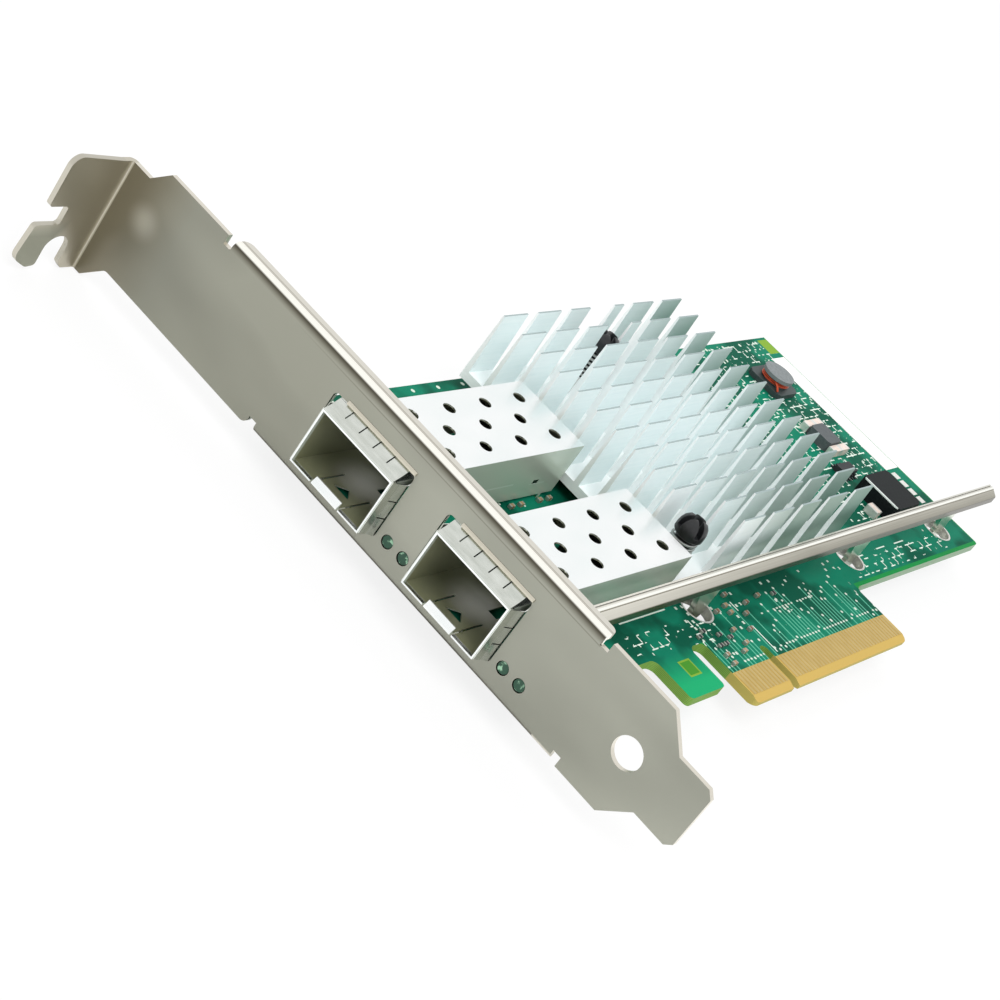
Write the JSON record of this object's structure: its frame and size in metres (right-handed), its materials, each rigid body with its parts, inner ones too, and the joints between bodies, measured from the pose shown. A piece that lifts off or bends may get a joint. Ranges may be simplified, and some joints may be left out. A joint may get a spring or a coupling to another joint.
{
  "type": "network interface card",
  "caption": "Low expansion card with two pluggable network ports, a finned heatsink and a full height slot bracket.",
  "frame": {"origin": "on the slot bracket's front face, level with the bottom of the edge contacts and with the board's component side", "axes": "+X into the computer along the card, +Y from the edge contacts to the card's top edge, +Z out of the component side"},
  "size_m": [0.1676, 0.12, 0.022],
  "materials": {
    "board_laminate": "green solder mask over glass fibre",
    "contact_gold": "gold plating",
    "bracket_steel": "nickel plated sheet",
    "bar_steel": "satin folded strip",
    "plated_silver": "tinned copper",
    "cage_steel": "bright plated thin sheet",
    "collar_steel": "bright spring steel",
    "connector_plastic": "moulded",
    "holder_plastic": "moulded",
    "lens_green": "clear tinted",
    "heatsink_aluminium": "bare extruded and cut",
    "pad_rubber": "soft grey",
    "chip_black": "moulded package",
    "pin_plastic": "moulded",
    "spring_steel": "dark wire",
    "choke_base_plastic": "moulded",
    "ferrite": "dull grey",
    "copper_wire": "lacquered wire",
    "inductor_black": "pressed powder body",
    "inductor_grey": "pressed powder body",
    "capacitor_ceramic": "pale body",
    "small_capacitor_ceramic": "tan body",
    "resistor_black": "dark film",
    "label_paper": "blank label"
  },
  "bodies": {
    "root": {"circuit_board": "board_laminate", "edge_contacts_front": "contact_gold", "edge_contacts_back": "contact_gold", "slot_bracket": "bracket_steel", "stiffener_bar": "bar_steel", "port_1_cage": "cage_steel", "port_2_cage": "cage_steel", "port_1_spring_collar": "collar_steel", "port_2_spring_collar": "collar_steel", "port_1_host_connector": "connector_plastic", "port_2_host_connector": "connector_plastic", "port_1_light_holder": "holder_plastic", "port_2_light_holder": "holder_plastic", "link_light_lenses": "lens_green", "heatsink": "heatsink_aluminium", "thermal_pad": "pad_rubber", "controller_chip": "chip_black", "push_pin_front": "pin_plastic", "push_pin_rear": "pin_plastic", "push_pin_spring_front": "spring_steel", "push_pin_spring_rear": "spring_steel", "round_choke_base": "choke_base_plastic", "round_choke_core": "ferrite", "round_choke_winding": "copper_wire", "power_inductor": "inductor_black", "square_inductor": "inductor_grey", "clock_chip": "chip_black", "bulk_capacitors": "capacitor_ceramic", "small_capacitors": "small_capacitor_ceramic", "small_resistors": "resistor_black", "header_pads": "plated_silver", "blank_label": "label_paper"}
  },
  "joints": []
}
